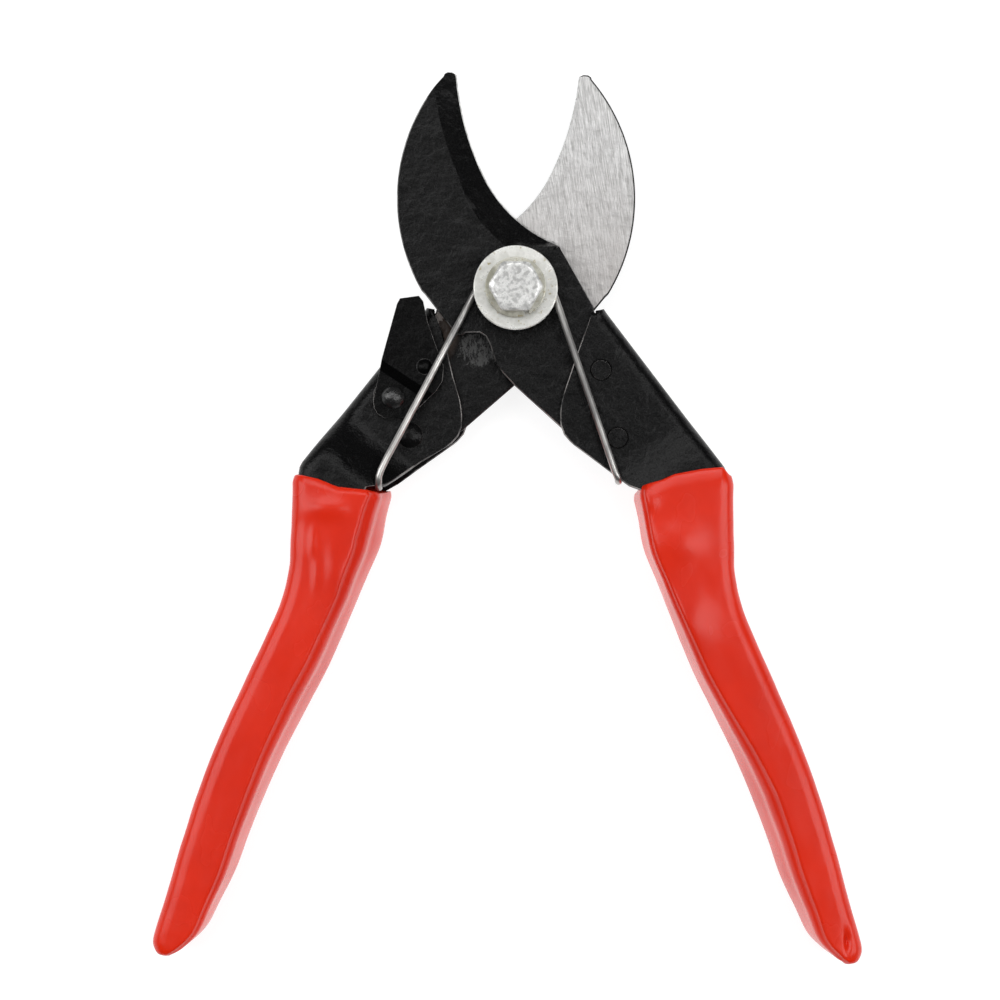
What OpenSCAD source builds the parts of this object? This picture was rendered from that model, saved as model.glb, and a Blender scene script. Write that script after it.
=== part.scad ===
// Pruning shears, open, lying flat. Two equal blades and two equal handles turn
// on one bolt: the rear half is the front half turned over about the Y axis.
// Frame: origin on the pivot axis in the plane the shears rest on, +Y to the
// blades, +Z up towards the bolt head, +X to the handle riveted to the front blade.

/* [Blades] */
// thickness of each blade
blade_t = 3.4; // [2.5:0.1:5]
// gap between the two blades
blade_gap = 0.3; // [0.2:0.1:1]
// thickness left at the cutting edge
edge_t = 0.35; // [0.2:0.05:1]
// width of the ground bevel
bevel_w = 5; // [3:0.5:8]
// radius of the curved back of the jaw
back_r = 39.1; // [34:0.1:44]
// radius of the cutting edge near the heel
heel_r = 29.5; // [24:0.5:36]
// radius of the cutting edge near the tip
tip_r = 59.4; // [45:0.5:80]

/* [Pivot] */
// height of the plane between the blades above the rest plane
mid_z = 8.2; // [7:0.1:12]
// diameter of the bolt shank
bolt_d = 6; // [5:0.5:8]
// radial running clearance of the blades on the bolt
run_gap = 0.05; // [0.02:0.01:0.1]
// width across the flats of the hexagon head and nut
hex_af = 10; // [8:0.5:13]
// height of the hexagon head
head_h = 4.1; // [3:0.1:6]
// height of the nut
nut_h = 3; // [2.5:0.1:3]
// diameter of the large flat washer
washer_d = 17.6; // [14:0.2:22]
// thickness of the large flat washer
washer_t = 1.6; // [1:0.1:2.5]
// outside diameter of the split lock washer
lock_d = 12.6; // [10:0.2:14]
// thickness of the split lock washer
lock_t = 1.5; // [1:0.1:2]
// outside diameter of the collar inside the spring
collar_d = 12; // [9:0.5:13]
// height of the collar
collar_h = 5.4; // [3:0.1:8]
// diameter of the small washer under the rear blade
rear_washer_d = 12; // [10:0.5:14]
// thickness of the small washer
rear_washer_t = 1.05; // [0.5:0.05:1.2]

/* [Spring] */
// wire diameter
wire_d = 1.5; // [1:0.1:2.5]
// mean radius of the coil
coil_r = 7.25; // [6.5:0.05:9]
// full turns before the second leg leaves
coil_turns = 2; // [1:1:3]
// rise of the coil in one turn
coil_pitch = 1.52; // [1.5:0.02:2]

/* [Handles] */
// thickness of the handle sheet
sheet_t = 1.6; // [1:0.1:2.5]
// width of the channel's two bends
bend_c = 1.7; // [1:0.1:2]
// radius of the grip's rounded edges
grip_edge_r = 2.8; // [2:0.1:3.2]
// thickness of the grip's skin
skin_t = 1.25; // [0.8:0.05:2]
// set-back of the grip's front crease from its inner edge
crease_w = 3.2; // [2:0.1:5]
// distance from the channel's end to where it starts to deepen
jog_start = 28; // [26:1:32]
// length over which it deepens
jog_len = 12; // [8:1:16]
// diameter of the blade rivets
rivet_d = 4; // [3:0.1:5]
// diameter of the rivets' domed heads
rivet_head_d = 5.4; // [4.5:0.1:7]

/* [Latch] */
// thickness of the latch sheet
latch_t = 1.1; // [0.8:0.1:2]
// step between the two levels of the latch
latch_step = 1.05; // [0.5:0.05:1.5]
// diameter of the latch rivet's shank
latch_pin_d = 3.2; // [2.5:0.1:4]
// diameter of the washer under the latch
latch_washer_d = 8.6; // [6:0.1:9]
// thickness of the washer under the latch
latch_washer_t = 0.3; // [0.2:0.05:0.35]

/* [Hidden] */
front_z = mid_z + blade_gap / 2;
front_top = front_z + blade_t;
rear_top = mid_z - blade_gap / 2;
collar_top = front_top + collar_h;
washer_top = collar_top + washer_t;
lock_top = washer_top + lock_t;
tang_top = front_top + sheet_t;
tang_low = front_z - sheet_t;
grip_top = 2 * mid_z;
channel_top = grip_top - skin_t;
channel_low = skin_t;
bore_r = bolt_d / 2 + run_gap;
// clearance on the diameter of the riveted fits, and overshoot of every cutting shape
fit_gap = 0.04;
cut = 1;
// clearance between a handle sheet and the cavity of its grip
cavity_gap = 0.06;
// chamfers of the grip's inner corners and height of its slanted inner side's ends
corner_c = 0.7;
slant_z = 1.7;
// lower ends of the nut and of the small washer, and bolt length inside the head
nut_z = 0.4;
rear_washer_z = nut_z + nut_h;
head_root = 0.5;
// direction and width of the split in the lock washer
split_a = -67;
split_w = 1.1;

// the web's outer line: its start, its direction and the inward normal
web_0 = [18.1, -3];
web_a = -52.07;
web_dir = [cos(web_a), sin(web_a)];
web_in = [sin(web_a), -cos(web_a)];
// where the web starts and where it meets the grip, along that line
web_start = 0.9;
web_end = 43;

// jaw arcs: back, heel part and tip part of the cutting edge
back_c = [13.9, 19.5];
heel_c = [19.44, 37.54];
join_a = 206.2;
join_dir = [-cos(join_a), -sin(join_a)];
tip_c = heel_c + (tip_r - heel_r) * join_dir;
// where the ground bevel stops at the heel
heel_y = 9.7;

// free edge of the outer flange, from the web's front corner to the grip
outer_pts = [
    [18.1, -3], [16.5, -3.5], [15.1, -7.9], [14.1, -10.4], [12.7, -14.6], [10.2, -22.4],
    [9.7, -25.2], [9.8, -28.3], [10.6, -30.4], [12.2, -32.2], [24.2, -40.9]
];
// free edge of the inner flange, which the other blade swings past
inner_pts = [
    [18.7, -3.8], [17, -5.3], [15.4, -8.6], [14.3, -12.6], [12.9, -18.4], [11.3, -23.6],
    [10.9, -26.6], [11, -29], [11.7, -30.9], [13.2, -32.6], [19.4, -36.4], [26.4, -41.2]
];
// across the grip from its outer edge to its inner edge, top to tip
grip_rows = [
    [[46.4, -38.8], [25.6, -42.9]], [[46.4, -46], [26.9, -47.8]],
    [[46.6, -53], [28.2, -54.4]], [[46.9, -59], [31, -61.2]],
    [[48.6, -66.5], [34.6, -70]], [[52.2, -75], [39, -80.4]],
    [[56.4, -84], [43.9, -90]], [[60.3, -93], [48.4, -99]],
    [[63.9, -102], [52.3, -108]], [[67, -111.5], [55.6, -116.5]],
    [[69.6, -120], [58.3, -124]], [[71.9, -128.5], [61.5, -130.6]],
    [[73.9, -134.8], [64.2, -136]], [[74.5, -138], [67.4, -139.2]]
];

// rivet centres through the right handle; the left ones are mirrored
rivet_at = [[18.2, -16.7], [21.9, -30.9]];
// rivet the latch turns on, in the left handle
latch_at = [-25.5, -22.9];
// latch outline from the lobe round to the tab
latch_pts = [
    [-29.7, -23.7], [-29.5, -25.2], [-28.7, -26.5], [-27.3, -27.3],
    [-25.7, -27.5], [-23.2, -27.1], [-20.6, -25.6], [-18.5, -23.5],
    [-16.4, -21.5], [-15.1, -19.3], [-14.9, -16.3], [-16.4, -12.5],
    [-18.4, -7], [-19.4, -2.6], [-20.3, -1.5], [-24.3, -2.1],
    [-24.9, -3.2], [-28, -15]
];
// direction across the latch's bend line, and where the bend starts
latch_bend = [0.54, 0.8417];
latch_bend_w = -29.2;
latch_z = 2 * mid_z - tang_low;
latch_low = latch_z + 0.4;
latch_top = latch_low + latch_step + latch_t;
// lip bent down at the end of the tab
lip_pts = [[-24.5, -3.2], [-24.1, -2.2], [-20.4, -1.65], [-19.7, -2.6]];
lip_h = 2;
// pressed dimple in the tab
dimple_at = [-18.9, -16.4];
dimple_r = 2.3;
// radius, sunken centre and width of the latch rivet's domed head
latch_head_r = 3;
latch_head_sink = 1.6;
latch_head_d = 4.9;

// ends of the spring's straight legs and the hooks beyond them
leg_l_end = [-28, -38.6, 14.8];
leg_r_end = [21.4, -38.2, 15.4];
hook_l = [[-25.6, -41.8, 11.8], [-25.7, -41.8, 13.8], [-26.4, -41.7, 14.7], [-27.5, -41.3, 14.9],
    [-28.2, -40.4, 14.9]];
hook_r = [[22.2, -40.2, 15.3], [22.4, -41.2, 14.9], [22.5, -41.6, 14], [22.5, -41.7, 12]];
// directions of the two legs where they leave the coil
leg_l = 153.2;
leg_r = 19.5;
coil_z = front_top + wire_d / 2 + 0.15;
coil_a = leg_l - leg_r + 360 * coil_turns;
coil_top = coil_z + coil_pitch * coil_a / 360;

black = [0.11, 0.11, 0.115];
steel = [0.72, 0.71, 0.7];
zinc = [0.8, 0.79, 0.76];
red = [0.85, 0.16, 0.09];

// turns a front-half shape over to make the rear half
module turned_over() {
    translate([0, 0, 2 * mid_z]) rotate([0, 180, 0]) children();
}

// n + 1 points on an arc from angle a to angle b
function arc(c, r, a, b, n) =
    [for (i = [0:n]) c + r * [cos(a + (b - a) * i / n), sin(a + (b - a) * i / n)]];

// smooth step from 0 to 1
function ease(x) = let (c = min(1, max(0, x))) c * c * (3 - 2 * c);

// skin of closed rings, all with the same count, with both ends capped
module skin(rings) {
    n = len(rings[0]);
    m = len(rings);
    polyhedron(
        points = [for (r = rings) each r],
        faces = concat(
            [[for (i = [0:n - 1]) n - 1 - i]],
            [for (k = [0:m - 2], i = [0:n - 1]) each [
                [k * n + i, k * n + (i + 1) % n, (k + 1) * n + i],
                [k * n + (i + 1) % n, (k + 1) * n + (i + 1) % n, (k + 1) * n + i]]],
            [[for (i = [0:n - 1]) (m - 1) * n + i]]),
        convexity = 8);
}

function blade_outline() = concat(
    arc(back_c, back_r, 137.2, 210.4, 26),
    [[-19.1, -1], [-13.5, -8], [-12.2, -9.5], [-11.1, -9.7], [-10.4, -9.1], [-7.4, -9],
        [-6.1, -9.8], [-5.2, -11.5], [-3.8, -15.8], [-2.4, -17.5], [0.1, -20.1], [10.6, -29.4],
        [13.2, -31.2], [21.9, -35.3], [33.7, -26.3], [16.8, -4.7], [16.4, -3.1], [12.6, 3.3],
        [9.1, 9.3], [7.9, 10.7]],
    arc(heel_c, heel_r, 246.2, join_a, 16),
    arc(tip_c, tip_r, join_a - 1.5, 185.3, 10));

// one ground bevel along an arc of the cutting edge
module bevel(c, r, a, b) {
    rise = (blade_t - edge_t) / bevel_w;
    translate([c[0], c[1], front_z]) rotate([0, 0, a])
        rotate_extrude(angle = b - a, $fn = 180)
            polygon([[r - 3, edge_t - 3 * rise], [r + bevel_w + cut / rise, blade_t + cut],
                [r - 3, blade_t + cut]]);
}

module blade() {
    difference() {
        translate([0, 0, front_z]) linear_extrude(blade_t) polygon(blade_outline());
        translate([0, 0, front_z - cut]) cylinder(h = blade_t + 2 * cut, r = bore_r, $fn = 64);
        bevel(tip_c, tip_r, 176, join_a + 0.2);
        intersection() {
            bevel(heel_c, heel_r, join_a, 260);
            translate([-40, heel_y, 0]) rotate([0, 0, 1]) cube([80, 40, 30]);
        }
        for (p = rivet_at)
            translate([p[0], p[1], front_z - cut])
                cylinder(h = blade_t + 2 * cut, d = rivet_d + fit_gap, $fn = 48);
    }
}

// station of the grip: outer point, unit vector inwards, reach of the creased edge and of the full
// edge, low face and high face, all drawn in by s
function grip_station(k, s) = let (
        a = grip_rows[k][0], b = grip_rows[k][1], w = norm(b - a), v = (b - a) / w,
        crease = k == 0 ? 0.35 * crease_w : crease_w)
    [a + s * v, v, w - 2 * s - crease, w - 2 * s, s, 2 * mid_z - s];

// prism whose section is given along the web line and up, tilted by a about that line
module along_web(pts, a = 0) {
    translate([web_0[0], web_0[1], 0]) rotate([0, 0, web_a]) rotate([90 - a, 0, 0])
        translate([0, 0, -30]) linear_extrude(130) polygon(pts);
}
// channel face level along the web line, from the straight part through the deeper part
function level(front, deep, from = 0) = concat(
    [[-20, front]],
    [for (i = [0:5]) [jog_start + from + jog_len * i / 5, front + (deep - front) * ease(i / 5)]],
    [[200, deep]]);
function band(a, b) = concat(a, [for (i = [len(b) - 1:-1:0]) b[i]]);
function shift(pts, d) = [for (p = pts) p + [0, d]];

// a flange: its free edge, then down the web and back up along the inside of the grip
function flange_outline(edge, rows) = band(
    concat([for (i = [len(edge) - 1:-1:0]) edge[i]], [web_0 + web_end * web_dir], [for (r = rows) r[0]]),
    [for (r = rows) r[1]]);

// reach_top and reach_low pick how far each flange reaches inside the grip
module channel(reach_top, reach_low) {
    top = level(tang_top, channel_top);
    low = level(tang_low, channel_low);
    st = [for (k = [0:11]) grip_station(k, skin_t)];
    web_pts = concat([web_0 + web_start * web_dir, web_0 + web_end * web_dir], [for (s = st) s[0]]);
    in_pts = concat([web_0 + web_start * web_dir + sheet_t * web_in,
        web_0 + (web_end - 0.6) * web_dir + sheet_t * web_in], [for (s = st) s[0] + sheet_t * s[1]]);
    difference() {
        intersection() {
            union() {
                intersection() {
                    linear_extrude(20) polygon(flange_outline(outer_pts,
                        [for (s = st) [s[0], s[0] + s[reach_top] * s[1]]]));
                    along_web(band(shift(top, -sheet_t), top));
                }
                intersection() {
                    linear_extrude(20) polygon(flange_outline(inner_pts,
                        [for (s = st) [s[0], s[0] + s[reach_low] * s[1]]]));
                    along_web(band(low, shift(low, sheet_t)));
                }
                intersection() {
                    linear_extrude(20) polygon(band(web_pts, in_pts));
                    along_web(band(low, top));
                }
            }
            // bends between the web and the two flanges
            along_web(concat(
                [for (p = level(tang_top, channel_top, 0.4)) [p[0], (p[1] - bend_c) / sqrt(2)]],
                [[200, -60], [-20, -60]]), 45);
            along_web(concat(
                [for (p = level(tang_low, channel_low, 0.4)) [p[0], (p[1] + bend_c) / sqrt(2)]],
                [[200, 60], [-20, 60]]), -45);
        }
        for (p = rivet_at)
            translate([p[0], p[1], 0]) cylinder(h = 20, d = rivet_d + fit_gap, $fn = 48);
    }
}

// ring round the grip, rounded by r on the web side and cut by c at the corners of its slanted inner side
function grip_ring(s, r, c, reach_top, reach_low) = let (
        p = s[0], v = s[1], lo = s[4], hi = s[5], q = min(r, (hi - lo) / 2 - 0.05),
        a_top = s[reach_top], a_low = s[reach_low], mid = (lo + hi) / 2 + sign(a_low - a_top),
        wz = concat(
            [for (a = [90:22.5:180]) [r + r * cos(a), hi - q + q * sin(a)]],
            [for (a = [180:22.5:270]) [r + r * cos(a), lo + q + q * sin(a)]],
            [[a_low - c, lo], [a_low, lo + c], [a_low, lo + slant_z], [(a_top + a_low) / 2 - 0.4, mid],
                [a_top, hi - slant_z], [a_top - c, hi]]))
    [for (w = wz) [p[0] + w[0] * v[0], p[1] + w[0] * v[1], w[1]]];

// tip stations draw the skin together
tip_rows = [
    [[73.5, -140.1], [-0.955, -0.1], 3.4, 3.9, 1.6, 2 * mid_z - 1.6],
    [[72.6, -140.9], [-1, 0], 1.6, 1.9, 3.4, 2 * mid_z - 3.4]];

module grip(reach_top, reach_low) {
    outer = concat(
        [for (k = [0:len(grip_rows) - 1])
            grip_ring(grip_station(k, 0), grip_edge_r, corner_c, reach_top, reach_low)],
        [for (s = tip_rows) grip_ring(s, min(1.6, s[2] / 2), corner_c, reach_top, reach_low)]);
    inner = [for (k = [12:-1:0])
        grip_ring(grip_station(k, skin_t - cavity_gap), 0.1, cavity_gap, reach_top, reach_low)];
    skin(concat(inner, outer));
}

// shank through both flanges, flush end on the outer face, domed head on the inner one
module blade_rivet(p) {
    dome_r = (pow(rivet_head_d / 2, 2) + 1) / 2;
    translate([p[0], p[1], 0]) {
        translate([0, 0, tang_low]) cylinder(h = tang_top - tang_low, d = rivet_d, $fn = 48);
        translate([0, 0, tang_low]) intersection() {
            translate([0, 0, dome_r - 1.05]) sphere(r = dome_r, $fn = 48);
            translate([0, 0, -3]) cylinder(h = 3, d = rivet_head_d, $fn = 48);
        }
    }
}

module front_blade() { color(black) blade(); }
module rear_blade() { color(steel) turned_over() blade(); }
module right_channel() { color(black) channel(2, 3); }
module left_channel() {
    color(black) difference() {
        turned_over() channel(3, 2);
        translate([latch_at[0], latch_at[1], mid_z - 2])
            cylinder(h = 9, d = latch_pin_d + fit_gap, $fn = 48);
    }
}
module right_grip() { color(red) grip(2, 3); }
module left_grip() { color(red) turned_over() grip(3, 2); }
module right_rivet_upper() { color(black) blade_rivet(rivet_at[0]); }
module right_rivet_lower() { color(black) blade_rivet(rivet_at[1]); }
module left_rivet_upper() { color(black) turned_over() blade_rivet(rivet_at[0]); }
module left_rivet_lower() { color(black) turned_over() blade_rivet(rivet_at[1]); }

// hexagon with its corners to +X and -X, chamfered at the top
module hexagon(h) {
    intersection() {
        cylinder(h = h, d = hex_af / cos(30), $fn = 6);
        rotate_extrude($fn = 96) polygon([[0, 0], [hex_af * 0.6, 0], [hex_af * 0.6, h - 0.6],
            [hex_af * 0.475, h], [0, h]]);
    }
}

module pivot_bolt() {
    color(zinc) {
        cylinder(h = lock_top + head_root, d = bolt_d, $fn = 64);
        translate([0, 0, lock_top]) hexagon(head_h);
    }
}
module pivot_nut() {
    color(zinc) translate([0, 0, nut_z]) difference() {
        translate([0, 0, nut_h]) rotate([180, 0, 0]) hexagon(nut_h);
        translate([0, 0, -cut]) cylinder(h = nut_h + 2 * cut, d = bolt_d + fit_gap, $fn = 64);
    }
}
module ring(d, h) {
    difference() {
        cylinder(h = h, d = d, $fn = 96);
        translate([0, 0, -cut]) cylinder(h = h + 2 * cut, r = bore_r, $fn = 64);
    }
}
module rear_washer() { color(zinc) translate([0, 0, rear_washer_z]) ring(rear_washer_d, rear_washer_t); }
module spring_collar() { color(zinc) translate([0, 0, front_top]) ring(collar_d, collar_h); }
module front_washer() { color(zinc) translate([0, 0, collar_top]) ring(washer_d, washer_t); }
module lock_washer() {
    color(steel) translate([0, 0, washer_top]) difference() {
        ring(lock_d, lock_t);
        rotate([0, 0, split_a]) translate([0, -split_w / 2, -cut]) cube([lock_d, split_w, lock_t + 2 * cut]);
    }
}

// wire centre line: left hook, left leg, coil, right leg, right hook
function on_coil(a, z) = [coil_r * cos(a), coil_r * sin(a), z];
wire_path = concat(
    hook_l, [leg_l_end],
    [for (i = [0:2]) leg_l_end + (on_coil(leg_l, coil_z) - leg_l_end) * (i + 0.6) / 3.2],
    [for (i = [0:40]) on_coil(leg_l - coil_a * i / 40, coil_z + (coil_top - coil_z) * i / 40)],
    [for (i = [0:2]) on_coil(leg_r, coil_top) + (leg_r_end - on_coil(leg_r, coil_top)) * (i + 0.6) / 3.2],
    [leg_r_end], hook_r);

module return_spring() {
    m = len(wire_path);
    color(steel) skin([for (k = [0:m - 1]) let (
            a = wire_path[max(0, k - 1)], b = wire_path[min(m - 1, k + 1)],
            d = (b - a) / norm(b - a),
            s0 = abs(d[2]) > 0.9 ? cross(d, [0.75, 0.66, 0]) : cross([0, 0, 1], d),
            s = s0 / norm(s0), u = cross(d, s))
        [for (i = [7:-1:0]) wire_path[k] + wire_d / 2 * (cos(45 * i) * s + sin(45 * i) * u)]]);
}

// side profile of the latch sheet, extruded along its bend line
module latch_profile() {
    lo = latch_low;
    w = latch_bend_w;
    a = atan2(latch_bend[1], latch_bend[0]);
    rotate([0, 0, a]) rotate([90, 0, 0]) translate([0, 0, -60]) linear_extrude(120)
        polygon([[w - 20, lo], [w, lo], [w + 2, lo + latch_step], [w + 40, lo + latch_step],
            [w + 40, lo + latch_step + latch_t], [w + 1.4, lo + latch_step + latch_t],
            [w - 0.6, lo + latch_t], [w - 20, lo + latch_t]]);
}
module safety_latch() {
    color(black) difference() {
        union() {
            intersection() {
                linear_extrude(40) polygon(latch_pts);
                latch_profile();
            }
            translate([0, 0, latch_top - lip_h - 0.2]) linear_extrude(lip_h) polygon(lip_pts);
            translate([dimple_at[0], dimple_at[1], latch_top - 1.6]) intersection() {
                sphere(r = dimple_r, $fn = 48);
                translate([0, 0, 1.2]) cylinder(h = dimple_r, r = dimple_r, $fn = 48);
            }
        }
        translate([latch_at[0], latch_at[1], 0])
            cylinder(h = 30, r = latch_pin_d / 2 + run_gap, $fn = 48);
    }
}
module latch_washer() {
    color(steel) translate([latch_at[0], latch_at[1], latch_z]) difference() {
        cylinder(h = latch_washer_t, d = latch_washer_d, $fn = 48);
        translate([0, 0, -cut]) cylinder(h = 3 * cut, d = latch_pin_d + fit_gap, $fn = 48);
    }
}
module latch_rivet() {
    head_z = latch_low + latch_t + 0.1;
    color(black) translate([latch_at[0], latch_at[1], 0]) {
        translate([0, 0, rear_top]) cylinder(h = head_z - rear_top + 0.1, d = latch_pin_d, $fn = 48);
        translate([0, 0, head_z]) intersection() {
            translate([0, 0, -latch_head_sink]) sphere(r = latch_head_r, $fn = 48);
            cylinder(h = latch_head_r, d = latch_head_d, $fn = 48);
        }
    }
}

front_blade();
rear_blade();
right_channel();
left_channel();
right_grip();
left_grip();
right_rivet_upper();
right_rivet_lower();
left_rivet_upper();
left_rivet_lower();
pivot_bolt();
pivot_nut();
rear_washer();
spring_collar();
return_spring();
front_washer();
lock_washer();
safety_latch();
latch_rivet();
latch_washer();
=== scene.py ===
"""Pruning shears, open and lying flat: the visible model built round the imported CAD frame."""

import math

import bmesh
import bpy
import numpy as np
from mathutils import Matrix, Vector, geometry, noise


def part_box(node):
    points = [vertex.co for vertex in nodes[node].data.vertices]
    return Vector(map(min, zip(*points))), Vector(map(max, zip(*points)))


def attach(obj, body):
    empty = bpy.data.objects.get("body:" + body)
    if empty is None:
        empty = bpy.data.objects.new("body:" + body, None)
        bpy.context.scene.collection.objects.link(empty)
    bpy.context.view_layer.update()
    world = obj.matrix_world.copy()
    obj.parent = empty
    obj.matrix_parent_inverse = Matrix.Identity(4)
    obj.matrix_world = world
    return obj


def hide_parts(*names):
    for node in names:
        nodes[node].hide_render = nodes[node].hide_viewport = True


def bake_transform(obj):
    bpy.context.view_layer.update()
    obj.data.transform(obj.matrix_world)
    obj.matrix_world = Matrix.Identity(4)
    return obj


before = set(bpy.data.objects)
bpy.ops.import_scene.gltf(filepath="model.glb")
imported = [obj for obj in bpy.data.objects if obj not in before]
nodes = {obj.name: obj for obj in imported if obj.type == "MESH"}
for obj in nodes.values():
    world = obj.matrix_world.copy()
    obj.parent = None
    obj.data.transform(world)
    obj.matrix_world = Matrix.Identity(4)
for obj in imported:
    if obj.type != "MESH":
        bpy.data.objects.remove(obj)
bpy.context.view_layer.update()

# ---- sizes taken from the frame, in millimetres ----
MM = 0.001


def box_mm(node):
    """Low and high corner of a CAD node's box at rest."""
    low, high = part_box(node)
    return np.array(low) / MM, np.array(high) / MM


blade_low, blade_top = box_mm("front_blade")[0][2], box_mm("front_blade")[1][2]
rear_top = box_mm("rear_blade")[1][2]
mid_z = (blade_low + rear_top) / 2
grip_top = 2 * mid_z
coil_low = box_mm("spring_collar")[0][2]
head_low = box_mm("lock_washer")[1][2]
bolt_low, bolt_high = box_mm("pivot_bolt")
HEX_AF = bolt_high[1] - bolt_low[1]
RIVETS = [
    tuple(np.round(sum(box_mm(rivet))[:2] / 2, 1)) for rivet in ("right_rivet_upper", "right_rivet_lower")]

# ---- outlines of the right half, in millimetres ----
# thickness of the handle sheet and of the grip's film over it
SHEET = 1.6
SKIN = 1.25
# the handle sheet deepens over JOG_LENGTH, from JOG_START along its web
JOG_START, JOG_LENGTH = 28, 12
TANG_TOP, TANG_LOW = blade_top + SHEET, blade_low - SHEET
DEEP_TOP, DEEP_LOW = grip_top - SKIN, SKIN
# the web's outer line: its front corner, its direction and the way inwards
WEB_START = np.array([18.1, -3.0])
WEB_ANGLE = math.radians(-52.07)
WEB_DIR = np.array([math.cos(WEB_ANGLE), math.sin(WEB_ANGLE)])
WEB_IN = np.array([math.sin(WEB_ANGLE), -math.cos(WEB_ANGLE)])
# free edges of the flange away from the blades' meeting plane and of the one that the other blade passes
OUTER_EDGE = np.array([
    [18.1, -3], [16.5, -3.5], [15.1, -7.9], [14.1, -10.4], [12.7, -14.6], [10.2, -22.4],
    [9.7, -25.2], [9.8, -28.3], [10.6, -30.4], [12.2, -32.2], [24.2, -40.9]])
INNER_EDGE = np.array([
    [18.7, -3.8], [17, -5.3], [15.4, -8.6], [14.3, -12.6], [12.9, -18.4], [11.3, -23.6],
    [10.9, -26.6], [11, -29], [11.7, -30.9], [13.2, -32.6], [19.4, -36.4], [26.4, -41.2]])
# the grip's outer and inner edge, point by point from its top to its tip
GRIP_OUTER = np.array([
    [46.4, -38.8], [46.4, -46], [46.6, -53], [46.9, -59], [48.6, -66.5], [52.2, -75], [56.4, -84],
    [60.3, -93], [63.9, -102], [67, -111.5], [69.6, -120], [71.9, -128.5], [73.9, -134.8],
    [74.5, -138], [73.6, -140.1], [72.3, -140.8]])
GRIP_INNER = np.array([
    [25.6, -42.9], [26.9, -47.8], [28.2, -54.4], [31, -61.2], [34.6, -70], [39, -80.4], [43.9, -90],
    [48.4, -99], [52.3, -108], [55.6, -116.5], [58.3, -124], [61.5, -130.6], [64.2, -136],
    [67.4, -139.2], [69.7, -140.5], [71.0, -140.9]])
# how far the grip's crease lies in from its inner edge, as (y, width) pairs
RIGHT_CREASE = [
    (-143, 1.5), (-138, 2.4), (-126, 3.7), (-117, 4.1), (-107, 4.4), (-87, 2.6), (-66, 1.7), (-44, 1.5)]
LEFT_CREASE = [
    (-143, 1.2), (-138, 1.6), (-126, 2.3), (-115, 2.8), (-104, 3.3), (-87, 4.2), (-66, 3.8), (-53, 4.9),
    (-44, 4.0)]
NO_CREASE = [(-143, 0.3), (0, 0.3)]
# the film's wavy edge on the front flange
RIGHT_TOP = [(45.4, -38.45), (43.9, -36.8), (39.7, -37.2), (33.7, -38.4), (31.2, -39.6), (25.7, -41.2)]
LEFT_TOP = [(46.6, -39.6), (44.5, -39.55), (40.9, -40.3), (36.7, -41.95), (30.3, -42.5), (26.7, -43.5)]
# swells and dents of the dipped film, as (x, y, half width, half length, rise)
RIGHT_SWELLS = [
    (28.9, -44.2, 1.3, 1.6, 0.45), (27.9, -41.9, 0.8, 0.9, 0.3), (33.9, -52.6, 5.5, 4.4, 0.85),
    (36.8, -69.5, 4.4, 6.0, 0.95), (71.0, -135.4, 0.45, 1.9, -1.6)]
LEFT_SWELLS = [
    (38.6, -46.5, 4.6, 2.2, 0.75), (41.7, -53.5, 0.7, 2.6, 0.3), (40.9, -60.5, 0.8, 3.2, 0.28),
    (37.2, -59, 2.4, 4.5, 0.4)]
# blade: thickness at the edge, width of the ground bevel and of the honed strip, and its arcs
EDGE_T, BEVEL_W, MICRO_W = 0.35, 5.0, 0.28
HEEL_C, HEEL_R = np.array([19.44, 37.54]), 29.5
TIP_R, JOIN = 59.4, math.radians(206.2)
TIP_C = HEEL_C - (TIP_R - HEEL_R) * np.array([math.cos(JOIN), math.sin(JOIN)])
BACK_C, BACK_R = np.array([13.9, 19.5]), 39.1
# where the ground bevel stops at the heel
HEEL_END = 9.7
# thickness at the honed strip's edge; bore, rivet holes, wider rivet holes in the channels; bolt's shank
HONED_T = 0.06
BORE_R, RIVET_R, CHANNEL_HOLE_R = 3.05, 2.02, 2.35
SHANK_R = 3.0
TANG = [
    [-19.1, -1], [-13.5, -8], [-12.2, -9.5], [-11.1, -9.7], [-10.4, -9.1], [-7.4, -9], [-6.1, -9.8],
    [-5.2, -11.5], [-3.8, -15.8], [-2.4, -17.5], [0.1, -20.1], [10.6, -29.4], [13.2, -31.2], [21.9, -35.3],
    [33.7, -26.3], [16.8, -4.7], [16.4, -3.1], [12.6, 3.3], [9.1, 9.3], [7.9, 10.7]]
TIP = [[-13.3, 45.75], [-13.9, 46.05], [-14.9, 46.0], [-15.5, 45.6]]
# spring: the coil turns from one leg's direction to the other's, two turns further
WIRE_R, WIRE_SIDES = 0.75, 12
COIL_R, COIL_PITCH = 7.25, 1.52
LEG_L, LEG_R = 153.2, 19.5
COIL_ANGLE = LEG_L - LEG_R + 720
COIL_Z = coil_low + WIRE_R + 0.15
# ends of the straight legs, and the hooks beyond them over the flanges' edges
LEFT_LEG_END, RIGHT_LEG_END = np.array([-27.7, -38.2, 15.3]), np.array([21.1, -37.4, 15.4])
LEFT_HOOK = [[-28.2, -42.0, 12.0], [-28.3, -41.8, 13.6], [-28.2, -41.0, 14.9]]
RIGHT_HOOK = [[21.7, -38.9, 15.3], [22.0, -39.6, 14.9], [22.1, -40.0, 14], [22.2, -40.1, 12.5]]


# ---- node materials ----
def add_node(tree, kind, inputs=(), **settings):
    """A shader node with its settings made and its inputs set or linked."""
    made = tree.nodes.new("ShaderNode" + kind)
    for key, value in settings.items():
        setattr(made, key, value)
    for key, value in dict(inputs).items():
        if isinstance(value, bpy.types.NodeSocket):
            tree.links.new(value, made.inputs[key])
        else:
            made.inputs[key].default_value = value
    return made


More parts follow.
